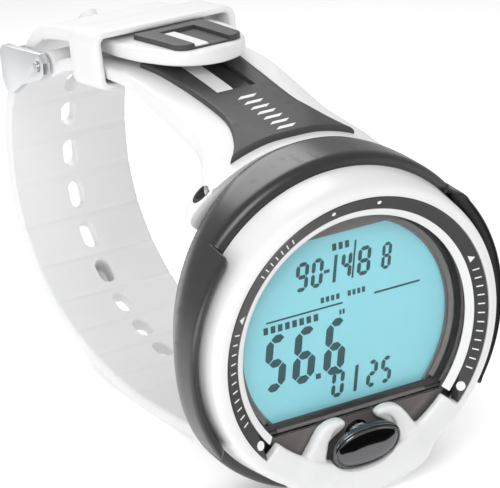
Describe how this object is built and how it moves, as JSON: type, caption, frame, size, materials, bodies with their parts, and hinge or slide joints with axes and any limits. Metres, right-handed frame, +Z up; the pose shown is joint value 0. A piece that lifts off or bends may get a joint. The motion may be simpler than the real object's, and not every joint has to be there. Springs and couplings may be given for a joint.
{
  "type": "wrist dive computer",
  "caption": "Round wrist dive computer with a lit display, one push button and a closed two-piece rubber strap with buckle and keeper.",
  "frame": {"origin": "centre of the bounding box on the surface that the closed watch stands on, with its six o'clock rim and the belly of its strap both touching down", "axes": "+X towards three o'clock, +Y from the display back through the case and strap loop, +Z up, within 4.5 degrees of twelve o'clock"},
  "size_m": [0.0626, 0.1186, 0.0747],
  "materials": {
    "case_dark": "dark grey moulded polymer, satin with soft highlights",
    "bezel_white": "white moulded polymer, semi-gloss",
    "ring_grey": "dark grey printed ring, satin",
    "trim_white": "white moulded trim, semi-gloss",
    "lens_glass": "clear mineral glass, polished",
    "seal_black": "black sealing rubber",
    "mask_grey": "grey-brown display surround, satin",
    "lcd": "lit cyan liquid crystal panel with dark segments",
    "backlight": "white diffuser",
    "board_green": "green solder mask",
    "switch_black": "black moulded switch",
    "brass": "plain brass disc",
    "steel": "stainless steel, satin",
    "cell_steel": "nickel plated cell can",
    "back_dark": "dark grey glass-filled polymer, fine texture",
    "button_chrome": "black chrome, polished",
    "strap_white": "white moulded elastomer, matt satin",
    "inlay_grey": "dark grey elastomer inlay, matt",
    "buckle_steel": "bright bead-blasted stainless steel"
  },
  "bodies": {
    "root": {"case_body": "case_dark", "bezel_ring": "bezel_white", "chapter_ring": "ring_grey", "inner_trim_ring": "trim_white", "lens": "lens_glass", "lens_gasket": "seal_black", "display_mask": "mask_grey", "lcd_panel": "lcd", "backlight_panel": "backlight", "circuit_board": "board_green", "tact_switch": "switch_black", "buzzer": "brass", "pressure_sensor": "steel", "board_spacer": "backlight", "battery_contact": "brass", "battery": "cell_steel", "back_plate": "back_dark", "back_screw_1": "steel", "back_screw_2": "steel", "back_screw_3": "steel", "back_screw_4": "steel", "button_spring": "steel", "strap_short": "strap_white", "strap_inlay": "inlay_grey", "strap_long": "strap_white", "tail_inlay": "inlay_grey", "lug_pin_12": "steel", "lug_pin_6": "steel", "buckle_spring_bar": "steel"},
    "button": {"button_cap": "button_chrome", "button_stem": "steel", "button_seal": "seal_black", "button_clip": "steel"},
    "battery_seal": {"battery_cap_seal": "seal_black"},
    "battery_cap": {"battery_cap": "back_dark"},
    "keeper": {"keeper_loop": "strap_white"},
    "buckle": {"buckle_frame": "buckle_steel"},
    "tongue": {"buckle_tongue": "buckle_steel"}
  },
  "joints": [
    {"name": "button_press", "type": "slide", "parent": "root", "child": "button", "axis": [0, 0.9426, 0.3338], "range_m": [0, 0.0012], "stiffness_N_per_m": 600},
    {"name": "battery_cap_lift", "type": "slide", "parent": "root", "child": "battery_seal", "axis": [0, 0.9969, 0.0785], "range_m": [0, 0.008]},
    {"name": "battery_cap_turn", "type": "hinge", "parent": "battery_seal", "child": "battery_cap", "pos_m": [0, -0.03978, 0.03186], "axis": [0, 0.9969, 0.0785], "range_deg": [-60, 0]},
    {"name": "keeper_slide", "type": "slide", "parent": "root", "child": "keeper", "axis": [0, 0.9962, -0.0872], "range_m": [0, 0.004]},
    {"name": "buckle_swing", "type": "hinge", "parent": "root", "child": "buckle", "pos_m": [0, 0.0335, 0.06301], "axis": [1, 0, 0], "range_deg": [0, 4]},
    {"name": "tongue_lift", "type": "hinge", "parent": "buckle", "child": "tongue", "pos_m": [0, 0.0335, 0.06301], "axis": [1, 0, 0], "range_deg": [0, 3]}
  ]
}
